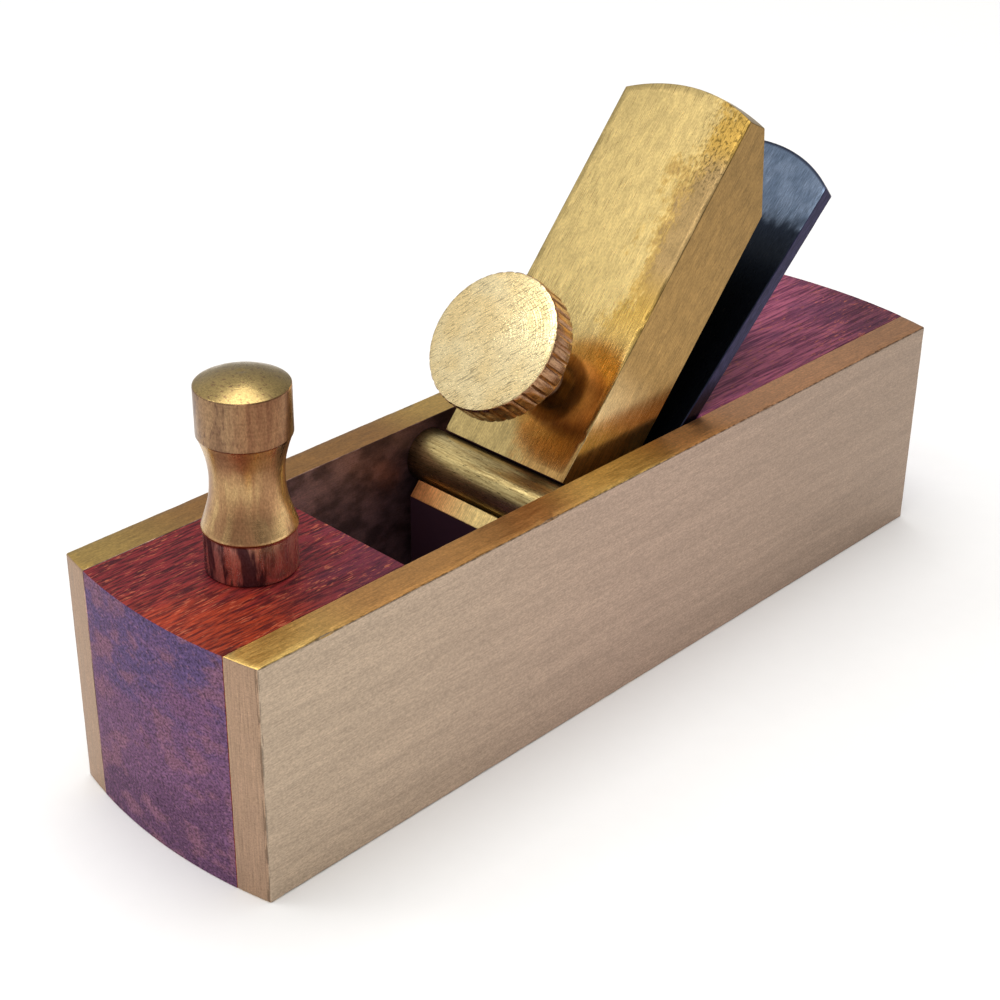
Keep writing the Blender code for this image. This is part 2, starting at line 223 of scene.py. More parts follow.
def loft(x_low, x_high, steps, side_at):
    """A closed solid whose side view at x is side_at(x), a ring of (y, z) with one count all the way."""
    build = bmesh.new()
    rings = []
    for i in range(steps + 1):
        x = x_low + (x_high - x_low) * i / steps
        rings.append([build.verts.new((x, y, z)) for y, z in side_at(x)])
    for low, high in zip(rings, rings[1:]):
        for j in range(len(low)):
            k = (j + 1) % len(low)
            build.faces.new((low[j], low[k], high[k], high[j]))
    build.faces.new(rings[0])
    build.faces.new(rings[-1])
    bmesh.ops.recalc_face_normals(build, faces=build.faces)
    return build


def revolve(rings, segments, cut_at=None):
    """A turned solid from rings of (radius, height, share), from its top on the axis down to its foot.

    cut_at(angle, height) is the depth of a flute or thread, and a ring takes its share of it.
    """
    build = bmesh.new()
    top = build.verts.new((0.0, 0.0, rings[0][1]))
    foot = build.verts.new((0.0, 0.0, rings[-1][1]))
    loops = []
    for radius, height, share in rings[1:-1]:
        loop = []
        for i in range(segments):
            angle = 2 * math.pi * i / segments
            reach = radius - (share * cut_at(angle, height) if share else 0.0)
            loop.append(build.verts.new((reach * math.cos(angle), reach * math.sin(angle), height)))
        loops.append(loop)
    for i in range(segments):
        k = (i + 1) % segments
        build.faces.new((top, loops[0][i], loops[0][k]))
        build.faces.new((foot, loops[-1][k], loops[-1][i]))
        for upper, lower in zip(loops, loops[1:]):
            build.faces.new((upper[i], lower[i], lower[k], upper[k]))
    bmesh.ops.recalc_face_normals(build, faces=build.faces)
    return build


def eased(profile, radius):
    """A profile of (radius, height, share) with its corners rounded off."""
    out = [profile[0]]
    for before, corner, after in zip(profile, profile[1:], profile[2:]):
        here = Vector(corner[:2])
        back = Vector(before[:2]) - here
        ahead = Vector(after[:2]) - here
        turn = math.pi - back.angle(ahead)
        if turn < SHARP_CORNER:
            out.append(corner)
            continue
        start = here + back.normalized() * min(radius, back.length / 2)
        end = here + ahead.normalized() * min(radius, ahead.length / 2)
        for i in range(EDGE_STEPS + 1):
            t = i / EDGE_STEPS
            point = start * (1 - t) ** 2 + here * 2 * t * (1 - t) + end * t**2
            out.append((point.x, point.y, corner[2]))
    out.append(profile[-1])
    return out


def smooth_curve(points, steps):
    """A Catmull-Rom curve through points."""
    points = [Vector(p) for p in points]
    ends = [2 * points[0] - points[1], *points, 2 * points[-1] - points[-2]]
    out = []
    for a, b, c, d in zip(ends, ends[1:], ends[2:], ends[3:]):
        linear = c - a
        square = 2 * a - 5 * b + 4 * c - d
        cube = 3 * b - a - 3 * c + d
        for i in range(steps):
            t = i / steps
            out.append(0.5 * (2 * b + linear * t + square * t**2 + cube * t**3))
    out.append(points[-1])
    return out


def make_piece(name, build, material):
    """An object that holds the built mesh."""
    mesh = bpy.data.meshes.new(name)
    build.to_mesh(mesh)
    build.free()
    piece = bpy.data.objects.new(name, mesh)
    bpy.context.scene.collection.objects.link(piece)
    mesh.materials.append(material)
    return piece


def set_down(piece, place, tilt=0.0):
    """Moves the mesh from the piece's own frame to its place in the CAD frame, tilted about X."""
    piece.data.transform(Matrix.Translation(place) @ Matrix.Rotation(tilt, 4, "X"))
    return piece


def settle(piece):
    """Makes the mesh what the modifiers make of it."""
    depsgraph = bpy.context.evaluated_depsgraph_get()
    mesh = bpy.data.meshes.new_from_object(piece.evaluated_get(depsgraph))
    piece.modifiers.clear()
    piece.data = mesh


def soften(piece, width, share_at=None):
    """Rounds the sharp edges by width, times share_at(edge middle, edge direction)."""
    build = bmesh.new()
    build.from_mesh(piece.data)
    weight = build.edges.layers.float.new("bevel_weight_edge")
    for edge in build.edges:
        if edge.calc_face_angle(0.0) < SHARP_CORNER:
            continue
        low, high = (vert.co for vert in edge.verts)
        edge[weight] = share_at((low + high) / 2, (high - low).normalized()) if share_at else 1.0
    build.to_mesh(piece.data)
    build.free()
    bevel = piece.modifiers.new("soften", "BEVEL")
    bevel.width = width
    bevel.segments = EDGE_STEPS
    bevel.limit_method = "WEIGHT"
    settle(piece)


def wear(piece, depth, size, seed):
    """Presses waves and nicks into the rounded edges, where the faces round a point don't lie flat."""
    build = bmesh.new()
    build.from_mesh(piece.data)
    build.normal_update()
    shift = Vector((seed, seed, seed))
    for vert in build.verts:
        flatness = min(vert.normal.dot(face.normal) for face in vert.link_faces)
        if flatness < WORN_FLATNESS:
            bumpiness = noise.noise(vert.co / size + shift)
            nick = max(0.0, noise.noise(vert.co / (NICK_SPACING * size) - shift) - NICK_LEVEL)
            vert.co -= vert.normal * depth * (WAVE_SHARE * abs(bumpiness) + NICK_SHARE * nick)
    build.to_mesh(piece.data)
    build.free()


def drill(piece, holes):
    """Drills round holes, each given as its radius and two points on its axis in the CAD frame."""
    build = bmesh.new()
    for radius, start, end in holes:
        along = Vector(end) - Vector(start)
        turn = Vector((0, 0, 1)).rotation_difference(along).to_matrix().to_4x4()
        bmesh.ops.create_cone(
            build,
            cap_ends=True,
            segments=DRILL_SEGMENTS,
            radius1=radius,
            radius2=radius,
            depth=along.length,
            matrix=Matrix.Translation((Vector(start) + Vector(end)) / 2) @ turn,
        )
    drills = make_piece("drills", build, piece.data.materials[0])
    cutting = piece.modifiers.new("drill", "BOOLEAN")
    cutting.object = drills
    cutting.solver = "EXACT"
    settle(piece)
    bpy.data.objects.remove(drills)


def show(piece, node, flat_faces=True):
    """Shades the piece, and lets it stand for its CAD node."""
    piece.data.shade_smooth()
    piece.data.set_sharp_from_angle(angle=SMOOTH_CORNER)
    if flat_faces:
        even = piece.modifiers.new("even", "WEIGHTED_NORMAL")
        even.keep_sharp = True
        even.weight = 100
    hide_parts(node)
    for body, nodes in frame["record"]["behaviour"]["bodies"].items():
        if node in nodes:
            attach(piece, body)


# ---------------------------------------------------------------------------------------------------
# Materials
# ---------------------------------------------------------------------------------------------------


class Finish:
    """A material under construction: helpers that add nodes and return their outputs.

    Its patterns lie in a frame at place in the CAD frame, tilted about X, which rides with the piece.
    x, y and z are the place in that frame.
    """

    def __init__(self, name, metallic, place=(0, 0, 0), tilt=0.0):
        self.material = bpy.data.materials.new(name)
        self.material.use_nodes = True
        self.tree = self.material.node_tree
        self.shader = self.tree.nodes["Principled BSDF"]
        self.shader.inputs["Metallic"].default_value = metallic
        coords = self.tree.nodes.new("ShaderNodeTexCoord")
        own_place = {"Vector": coords.outputs["Object"], "Location": place, "Rotation": (tilt, 0, 0)}
        self.place = self.node("Mapping", own_place, vector_type="TEXTURE").outputs[0]
        own_normal = {"Vector": coords.outputs["Normal"], "Rotation": (-tilt, 0, 0)}
        self.normal = self.node("Mapping", own_normal, vector_type="VECTOR").outputs[0]
        self.x, self.y, self.z = self.node("SeparateXYZ", {0: self.place}).outputs

    def node(self, kind, inputs, **settings):
        made = self.tree.nodes.new("ShaderNode" + kind)
        for key, value in settings.items():
            setattr(made, key, value)
        for key, value in inputs.items():
            self.feed(made.inputs[key], value)
        return made

    def feed(self, socket, value):
        if isinstance(value, bpy.types.NodeSocket):
            self.tree.links.new(value, socket)
        else:
            socket.default_value = value

    def calc(self, operation, *values):
        return self.node("Math", dict(enumerate(values)), operation=operation).outputs[0]

    def times(self, first, *others):
        for other in others:
            first = self.calc("MULTIPLY", first, other)
        return first

    def plus(self, a, b):
        return self.calc("ADD", a, b)

    def minus(self, a, b):
        return self.calc("SUBTRACT", a, b)

    def most(self, a, b):
        return self.calc("MAXIMUM", a, b)

    def absolute(self, value):
        return self.calc("ABSOLUTE", value)

    def grain(self, sizes_mm, seed=0, detail=3, turn=0.0):
        """Noise, 0 to 1, whose features are about sizes_mm across in X, Y and Z, turned about Z.

        seed moves it along, so that two grains of one size differ. detail is its count of finer layers.
        """
        scale = [1.0 / (size * MM) for size in sizes_mm]
        place = self.place
        if turn:
            place = self.node("Mapping", {"Vector": place, "Rotation": (0, 0, turn)}).outputs[0]
        parts = {0: place, 1: scale, 2: (seed, seed, seed)}
        where = self.node("VectorMath", parts, operation="MULTIPLY_ADD").outputs[0]
        return self.node("TexNoise", {"Vector": where, "Scale": 1.0, "Detail": detail}).outputs[0]

    def rings(self, size_mm):
        """Noise in rings about the piece's own Z axis, and along it, as a lathe tool leaves."""
        radius = self.calc("SQRT", self.plus(self.times(self.x, self.x), self.times(self.y, self.y)))
        scale = 1.0 / (size_mm * MM)
        parts = {0: self.times(radius, scale), 1: self.times(self.z, scale)}
        where = self.node("CombineXYZ", parts).outputs[0]
        return self.node("TexNoise", {"Vector": where, "Scale": 1.0, "Detail": 2.0}).outputs[0]

    def span(self, value, low, high, out_low=0.0, out_high=1.0, kind="SMOOTHSTEP"):
        """value carried smoothly from low..high to out_low..out_high, and held there beyond them."""
        ends = {"Value": value, "From Min": low, "From Max": high, "To Min": out_low, "To Max": out_high}
        return self.node("MapRange", ends, interpolation_type=kind).outputs[0]

    def ramp(self, value, low, high, out_low, out_high):
        """As span, but in a straight line."""
        return self.span(value, low, high, out_low, out_high, "LINEAR")

    def spots(self, sizes_mm, low, high, seed=0, detail=3, turn=0.0):
        """Patches of grain: 0 where it is below low, and 1 where it is above high."""
        return self.span(self.grain(sizes_mm, seed, detail, turn), low, high)

    def mix(self, factor, a, b, mode="MIX"):
        made = self.node("Mix", {}, data_type="RGBA", blend_type=mode)
        self.feed(made.inputs[0], factor)
        for socket, value in ((made.inputs[6], a), (made.inputs[7], b)):
            self.feed(socket, value if isinstance(value, bpy.types.NodeSocket) else (*value, 1.0))
        return made.outputs[2]

    def zones(self, where, colour, *steps):
        """colour, and then each step's own colour, which comes in between its low and its high."""
        for low, high, after in steps:
            colour = self.mix(self.span(where, low, high), colour, after)
        return colour

    def choose(self, factor, a, b):
        made = self.node("Mix", {}, data_type="FLOAT")
        for socket, value in ((made.inputs[0], factor), (made.inputs[2], a), (made.inputs[3], b)):
            self.feed(socket, value)
        return made.outputs[0]

    def shade(self, colour, amount):
        """colour made darker or lighter by amount, a number about 1."""
        grey = self.node("CombineXYZ", {0: amount, 1: amount, 2: amount}).outputs[0]
        return self.mix(1.0, colour, grey, mode="MULTIPLY")

    def toward(self, axis):
        """The part of the surface's direction along an axis of the piece, -1 to 1."""
        return self.node("SeparateXYZ", {0: self.normal}).outputs[axis]

    def facing(self, axis):
        """1 on faces square to an axis of the piece, and 0 on the others."""
        return self.span(self.absolute(self.toward(axis)), 0.55, 0.85)

    def corner(self, axis_a, axis_b):
        """0 on faces square to either axis, and up to 0.5 on the rounded edges between them."""
        return self.times(self.absolute(self.toward(axis_a)), self.absolute(self.toward(axis_b)))

    def relief(self, height, depth_mm):
        return self.node("Bump", {"Height": height, "Distance": depth_mm * MM, "Strength": 1.0}).outputs[0]

    def done(self, colour, roughness, normal=None):
        self.feed(self.shader.inputs["Base Color"], colour)
        self.feed(self.shader.inputs["Roughness"], roughness)
        if normal is not None:
            self.feed(self.shader.inputs["Normal"], normal)
        return self.material


def cheek_brass():
    """Pale sanded plate outside, golden along its top and bottom edges, brushed up and down at its ends,
    with painted reflections and shade along its tops and painted light and shade on its inner walls.
    """
    f = Finish("cheek_brass_plate", 1.0)
    on_end = f.facing(Y)
    on_top = f.facing(Z)
    out = f.absolute(f.x)
    inside = f.span(out, CHEEK_INNER_X + 0.01 * MM, CHEEK_INNER_X + 0.08 * MM, 1.0, 0.0)
    lengthwise = f.grain((0.09, 1.6, 0.09))
    upright = f.grain((0.09, 0.09, 3.0))
    streak = f.choose(on_end, lengthwise, upright)
    broad = f.grain((2.0, 22.0, 1.1), seed=5)
    speckle = f.grain((0.15, 0.24, 0.13), seed=9)

    pale, buff, grey_buff = (0.505, 0.395, 0.290), (0.465, 0.338, 0.260), (0.380, 0.282, 0.212)
    outer = f.zones(f.y, pale, (-42 * MM, 2 * MM, buff), (-4 * MM, 42 * MM, grey_buff))
    ends = f.mix(broad, (0.47, 0.315, 0.205), (0.37, 0.245, 0.168))

    # Tops: their tones along the length, their darkening towards the rear and the left cheek's darker top
    # are painted reflection and painted shade.
    gold, brown, gold_reflection = (0.66, 0.44, 0.135), (0.50, 0.255, 0.084), (0.78, 0.50, 0.145)
    copper, rose = (0.68, 0.31, 0.095), (0.64, 0.33, 0.165)
    front_zones = ((-42 * MM, -30 * MM, brown), (-12 * MM, -4 * MM, gold_reflection))
    rear_zones = ((0, 7 * MM, copper), (9 * MM, 15 * MM, rose))
    top = f.zones(f.y, gold, *front_zones, *rear_zones)
    top = f.shade(top, f.span(f.y, 22 * MM, 40 * MM, 1.0, 0.80))
    top = f.shade(top, f.span(f.x, -9 * MM, 9 * MM, 0.70, 1.04))

    # Inner walls: painted light and shade. They are painted dark from the middle of the throat back, and the
    # right wall is painted lighter for light thrown between the brass walls.
    lit_wall, shaded_wall, bounce_lit_wall = (0.66, 0.42, 0.40), (0.22, 0.125, 0.14), (0.72, 0.50, 0.26)
    wall = f.zones(f.y, lit_wall, (-22 * MM, -8 * MM, shaded_wall))
    wall = f.shade(wall, f.span(f.grain((2.5, 4.0, 2.5), seed=21, detail=4), 0.38, 0.62, 0.45, 1.1))
    wall = f.zones(f.x, wall, (0.0, 1.0 * MM, bounce_lit_wall))
    colour = f.mix(on_top, f.mix(on_end, outer, ends), top)
    colour = f.mix(inside, colour, wall)

    # The long edges are burred, and a broken dark line runs down the upright ones
    burr = f.times(f.span(f.corner(X, Z), 0.15, 0.40), f.spots((0.3, 0.7, 0.3), 0.40, 0.60, seed=2))
    brim = f.times(f.span(out, HALF_WIDTH - 0.42 * MM, HALF_WIDTH - 0.16 * MM), on_end)
    line = f.most(f.span(f.corner(X, Y), 0.20, 0.45), brim)
    line = f.times(line, f.spots((0.2, 0.2, 2.2), 0.40, 0.56, seed=6))
    side_streaks = f.ramp(streak, 0.3, 0.7, 0.84, 1.13)
    end_streaks = f.ramp(streak, 0.3, 0.7, 0.76, 1.16)
    tone = f.times(
        f.choose(on_end, side_streaks, end_streaks),
        f.span(broad, 0.3, 0.7, 0.95, 1.05),
        f.ramp(speckle, 0.25, 0.75, 0.78, 1.20),
        f.span(f.most(burr, line), 0.0, 1.0, 1.0, 0.55),
    )
    roughness = f.choose(on_top, f.choose(inside, 0.44, 0.55), 0.36)
    roughness = f.plus(roughness, f.span(streak, 0.3, 0.7, -0.04, 0.06))
    return f.done(f.shade(colour, tone), roughness, f.relief(f.plus(streak, speckle), 0.006))


def cap_brass():
    """Golden bar brushed up its length, deeper gold and pitted towards one corner, with painted shade on its
    nose, a painted reflection low on its face and painted light low on its sides.
    """
    f = Finish("cap_brass_bar", 1.0, PIN_CENTRE, CAP_ANGLE)
    streak = f.grain((0.09, 2.0, 0.09))
    speckle = f.grain((0.17, 0.28, 0.17), seed=4)
    blotch = f.grain((0.8, 1.6, 0.8), seed=33, detail=4)
    cloud = f.grain((3.0, 6.0, 3.0), seed=7)
    coarse = f.grain((0.34, 0.55, 0.34), seed=14)

    # Zones across the face have ragged borders
    drift = f.times(f.minus(cloud, 0.5), 9 * MM)
    drift = f.plus(drift, f.times(f.minus(coarse, 0.5), 4 * MM))
    across = f.plus(f.x, drift)
    gold, deep_gold = (0.565, 0.425, 0.175), (0.46, 0.290, 0.068)
    band = f.times(f.span(across, 2.4 * MM, 4.4 * MM), f.span(f.y, 10 * MM, 20 * MM))
    face = f.mix(band, gold, deep_gold)
    # Low on the right the face is painted orange: a painted reflection of the warm underside of the screw
    # head.
    reflected_orange_low = f.times(f.span(across, 0.5 * MM, 3.0 * MM), f.span(f.y, 10 * MM, 4 * MM))
    face = f.mix(reflected_orange_low, face, (0.56, 0.33, 0.115))
    stain = f.times(
        f.span(across, 3.0 * MM, 5.0 * MM),
        f.span(f.y, 18 * MM, 24 * MM),
        f.span(f.y, 35.5 * MM, 32.5 * MM),
    )
    face = f.mix(f.times(stain, 0.9), face, (0.30, 0.205, 0.095))

    # Below the pin the face is a strip, orange on the left and pale on the right
    orange, pale_gold = (0.74, 0.34, 0.120), (0.82, 0.62, 0.26)
    strip = f.zones(f.x, orange, (-6 * MM, 1 * MM, pale_gold))
    on_strip = f.span(f.y, -1.5 * MM, -2.2 * MM)
    face = f.mix(on_strip, face, strip)

    # The sides are painted lighter and amber low down: painted light, for light thrown from the right
    # cheek's inner wall.
    side_gold, side_painted_light = (0.39, 0.232, 0.076), (0.82, 0.58, 0.28)
    side = f.zones(f.y, side_gold, (15 * MM, 8 * MM, side_painted_light))
    colour = f.mix(f.facing(X), face, side)

    pitted = f.times(f.span(f.x, 1.0 * MM, 5.2 * MM), f.span(f.y, 27 * MM, 34 * MM))
    pits = f.times(
        f.spots((0.20, 0.42, 0.20), 0.50, 0.62, seed=23, detail=4),
        f.plus(0.05, pitted),
        f.span(f.toward(Z), 0.6, 0.9),
    )
    dirt = f.times(f.span(f.corner(X, Z), 0.12, 0.40), f.spots((0.2, 1.6, 0.2), 0.32, 0.48, seed=17))
    tone = f.times(
        f.ramp(streak, 0.3, 0.7, 0.74, 1.17),
        f.span(speckle, 0.25, 0.75, 1.15, 0.84),
        f.span(blotch, 0.35, 0.65, 0.87, 1.05),
        f.ramp(f.most(pits, dirt), 0.0, 1.0, 1.0, 0.42),
        f.span(f.y, 18 * MM, 36 * MM, 1.0, 0.84),
    )
    # The nose face is painted near black: painted shade.
    nose = f.span(f.toward(Y), -0.35, -0.55)
    colour = f.mix(nose, f.shade(colour, tone), (0.115, 0.060, 0.085))

    # The face is smoother near the screw, where it mirrors it
    roughness = f.plus(f.span(streak, 0.3, 0.7, 0.18, 0.25), f.span(f.y, 14 * MM, 21 * MM, 0.0, 0.09))
    roughness = f.choose(on_strip, roughness, 0.45)
    roughness = f.choose(nose, roughness, 0.6)
    return f.done(colour, roughness, f.relief(streak, 0.0005))


def screw_brass():
    """Turned and hand-worn face, pale gold, with copper-brown on the fluted rim, and painted light under the
    head: bright orange on its underside and lighter copper on its boss.
    """
    f = Finish("screw_brass_turned", 1.0, SCREW_FOOT, CAP_ANGLE)
    scratch_turn = math.radians(-40)
    cut_turn = math.radians(-50)
    on_face = f.span(f.toward(Z), 0.75, 0.95)
    under = f.span(f.z, HEAD_BASE_RISE + 0.10 * MM, HEAD_BASE_RISE - 0.02 * MM)
    boss = f.span(f.z, HEAD_BASE_RISE - 0.2 * MM, HEAD_BASE_RISE - 0.5 * MM)
    rings = f.rings(0.15)
    scratches = f.grain((0.60, 0.08, 0.5), seed=3, turn=scratch_turn)
    cuts = f.spots((1.1, 0.085, 0.5), 0.585, 0.66, seed=13, detail=2, turn=cut_turn)
    nicks = f.spots((0.30, 0.12, 0.2), 0.60, 0.68, seed=6, turn=scratch_turn)
    pits = f.most(cuts, nicks)
    speckle = f.grain((0.16, 0.13, 0.14), seed=8)
    cloud = f.grain((3, 3, 3), seed=1)
    rim_streak = f.grain((0.22, 0.22, 2.5), seed=2)

    face = f.mix(f.span(cloud, 0.35, 0.65), (0.93, 0.77, 0.44), (0.86, 0.67, 0.34))
    rim = f.mix(f.span(rim_streak, 0.35, 0.65), (0.28, 0.135, 0.065), (0.50, 0.285, 0.150))
    # The underside of the head is painted bright orange and the boss a lighter copper: painted light, so
    # that they shine brightly in the cap.
    under_painted_glow, boss_lit_copper = (1.0, 0.68, 0.36), (0.70, 0.36, 0.16)
    colour = f.mix(on_face, rim, face)
    colour = f.mix(under, colour, under_painted_glow)
    colour = f.mix(boss, colour, boss_lit_copper)
    tone = f.times(
        f.ramp(speckle, 0.25, 0.75, 0.80, 1.12),
        f.span(pits, 0, 1, 1.0, 0.55),
        f.ramp(scratches, 0.3, 0.7, 0.84, 1.10),
    )
    height = f.plus(f.times(rings, 2.0), f.minus(f.times(scratches, 0.5), pits))
    roughness = f.choose(under, f.span(cloud, 0.3, 0.7, 0.20, 0.26), 0.14)
    roughness = f.choose(boss, roughness, 0.4)
    return f.done(f.shade(colour, tone), roughness, f.relief(height, 0.006))


def knob_brass():
    """Turned brass: brown streaks on its head, gold at its neck and dome, and painted reflections and
    highlights round its neck, head and foot.
    """
    f = Finish("knob_brass_turned", 1.0, (0, KNOB_Y, 0))
    across = f.plus(f.x, f.y)  # from the front left to the rear right
    on_top = f.span(f.toward(Z), 0.55, 0.85)
    on_head = f.span(f.z, KNOB_BASE + 11.50 * MM, KNOB_BASE + 11.60 * MM)
    on_foot = f.span(f.z, KNOB_BASE + 3.55 * MM, KNOB_BASE + 3.45 * MM)
    rings = f.rings(0.10)
    streak = f.grain((1.1, 1.1, 9.0), seed=3)
    streaked = f.span(streak, 0.35, 0.66)
    fine = f.grain((0.13, 0.13, 0.26), seed=7)

    neck = f.mix(f.span(streak, 0.36, 0.64), (0.37, 0.205, 0.100), (0.55, 0.365, 0.165))
    # The neck is painted dark low down on its front right and rear left sides, and lighter towards the rear
    # right: a painted dark reflection and a painted highlight.
    painted_dark_reflection = f.span(f.absolute(across), 3.4 * MM, 1.0 * MM, 0.0, 0.75)
    low_neck = f.span(f.z, KNOB_BASE + 8.2 * MM, KNOB_BASE + 6.2 * MM)
    neck = f.mix(f.times(low_neck, painted_dark_reflection), neck, (0.24, 0.115, 0.055))
    neck = f.shade(neck, f.span(across, 2.0 * MM, 4.2 * MM, 1.0, 1.55))

    head = f.mix(streaked, (0.21, 0.118, 0.068), (0.34, 0.21, 0.112))
    spot = f.spots((0.28, 0.28, 0.8), 0.56, 0.66, seed=11)
    head = f.mix(f.times(spot, 0.55), head, (0.11, 0.055, 0.040))
    # The head is painted redder towards the rear right: a painted reflection.
    reflected_red_head = f.mix(streaked, (0.19, 0.070, 0.032), (0.28, 0.125, 0.055))
    head = f.mix(f.span(across, -2.0 * MM, 1.5 * MM, 0.0, 0.6), head, reflected_red_head)

    # The foot is painted in dark and light patches and lighter towards the rear right: painted reflections
    # of the wood around it.
    foot = f.mix(f.spots((0.75, 0.75, 4.0), 0.44, 0.58, seed=9), (0.14, 0.10, 0.12), (0.75, 0.58, 0.49))
    foot = f.mix(f.span(across, 1.5 * MM, 4.0 * MM, 0.0, 0.75), foot, (0.95, 0.78, 0.56))
    dents = f.spots((0.30, 0.30, 0.30), 0.57, 0.66, seed=5)
    dome = f.mix(f.times(dents, 0.6), (0.37, 0.265, 0.105), (0.16, 0.075, 0.05))
    colour = f.mix(on_head, neck, head)
    colour = f.mix(on_foot, colour, foot)
    colour = f.mix(on_top, colour, dome)
    tone = f.times(f.ramp(fine, 0.28, 0.72, 0.72, 1.22), f.span(rings, 0.3, 0.7, 0.94, 1.05))
    roughness = f.span(streak, 0.3, 0.7, 0.34, 0.24)
    return f.done(f.shade(colour, tone), roughness, f.relief(f.plus(rings, fine), 0.004))


def pin_brass():
    """Dull olive rod with dark draw marks along it, and painted shade where it enters the left cheek."""
    f = Finish("pin_brass_rod", 1.0)
    draw = f.grain((2.2, 0.14, 0.14))
    speckle = f.grain((0.3, 0.14, 0.14), seed=2)
    marks = f.spots((0.8, 0.10, 0.10), 0.60, 0.68, seed=5, detail=2)
    colour = f.mix(f.span(draw, 0.35, 0.65), (0.36, 0.262, 0.108), (0.56, 0.445, 0.20))
    tone = f.times(
        f.span(marks, 0.0, 1.0, 1.0, 0.35),
        f.ramp(speckle, 0.3, 0.7, 0.84, 1.14),
        # The left end is painted dark: painted shade from the left cheek. The right half is darker too.
        f.span(f.x, -CHEEK_INNER_X, -CHEEK_INNER_X + 2.6 * MM, 0.36, 1.08),
        f.span(f.x, -4.0 * MM, 0.0, 1.08, 0.84),
    )
    return f.done(f.shade(colour, tone), f.span(draw, 0.3, 0.7, 0.36, 0.27), f.relief(draw, 0.005))


def hidden_brass(name, dark, light):
    """Plain drawn or threaded rod."""
    f = Finish(name, 1.0)
    draw = f.grain((0.2, 0.2, 0.2))
    return f.done(f.mix(draw, dark, light), f.span(draw, 0.3, 0.7, 0.40, 0.28), f.relief(draw, 0.005))


def blued_steel():
    """Blue-black ground steel, with painted light at its rounded end and painted shade under the cap, violet
    on its sides, bright on its ground bevel.
    """
    f = Finish("blued_steel_blade", 1.0, IRON_PLACE, BED_ANGLE)
    ground = f.grain((0.09, 0.9, 0.09), detail=4)
    cloud = f.grain((1.2, 2.2, 1.2), seed=4)

    # The rounded end is painted paler and the part under the cap near black: painted light and painted
    # shade, where the cap's shadow and reflection lie on the steel.
    lit_end_blue = f.mix(f.span(cloud, 0.35, 0.65), (0.090, 0.122, 0.178), (0.130, 0.168, 0.235))
    shaded_blue_black, oily_blue = (0.015, 0.020, 0.032), (0.26, 0.38, 0.60)
    under_cap = f.zones(f.y, shaded_blue_black, (24 * MM, 15 * MM, oily_blue))
    along = f.plus(f.y, f.times(f.minus(cloud, 0.5), 3 * MM))
    colour = f.mix(f.span(along, IRON_LENGTH - 8.2 * MM, IRON_LENGTH - 6.4 * MM), under_cap, lit_end_blue)

    # A dark rim follows the rounded end, at inset from it
    arc = f.calc("SQRT", f.minus(IRON_END_RADIUS**2, f.times(f.x, f.x)))
    inset = f.minus(f.plus(arc, IRON_LENGTH - IRON_END_RADIUS), f.y)
    rim = f.span(inset, 0.15 * MM, 0.45 * MM, 1.0, 0.0)
    bevel = f.times(f.span(f.toward(Z), -0.80, -0.95), f.span(f.toward(Y), -0.3, -0.45))
    rim_black, side_violet, bright_steel = (0.025, 0.030, 0.050), (0.030, 0.026, 0.065), (0.52, 0.53, 0.55)
    colour = f.mix(rim, colour, rim_black)
    colour = f.mix(f.facing(X), colour, side_violet)
    colour = f.mix(bevel, colour, bright_steel)
    tone = f.ramp(ground, 0.3, 0.7, 0.55, 1.38)
    return f.done(f.shade(colour, tone), f.span(ground, 0.3, 0.7, 0.36, 0.26), f.relief(ground, 0.005))


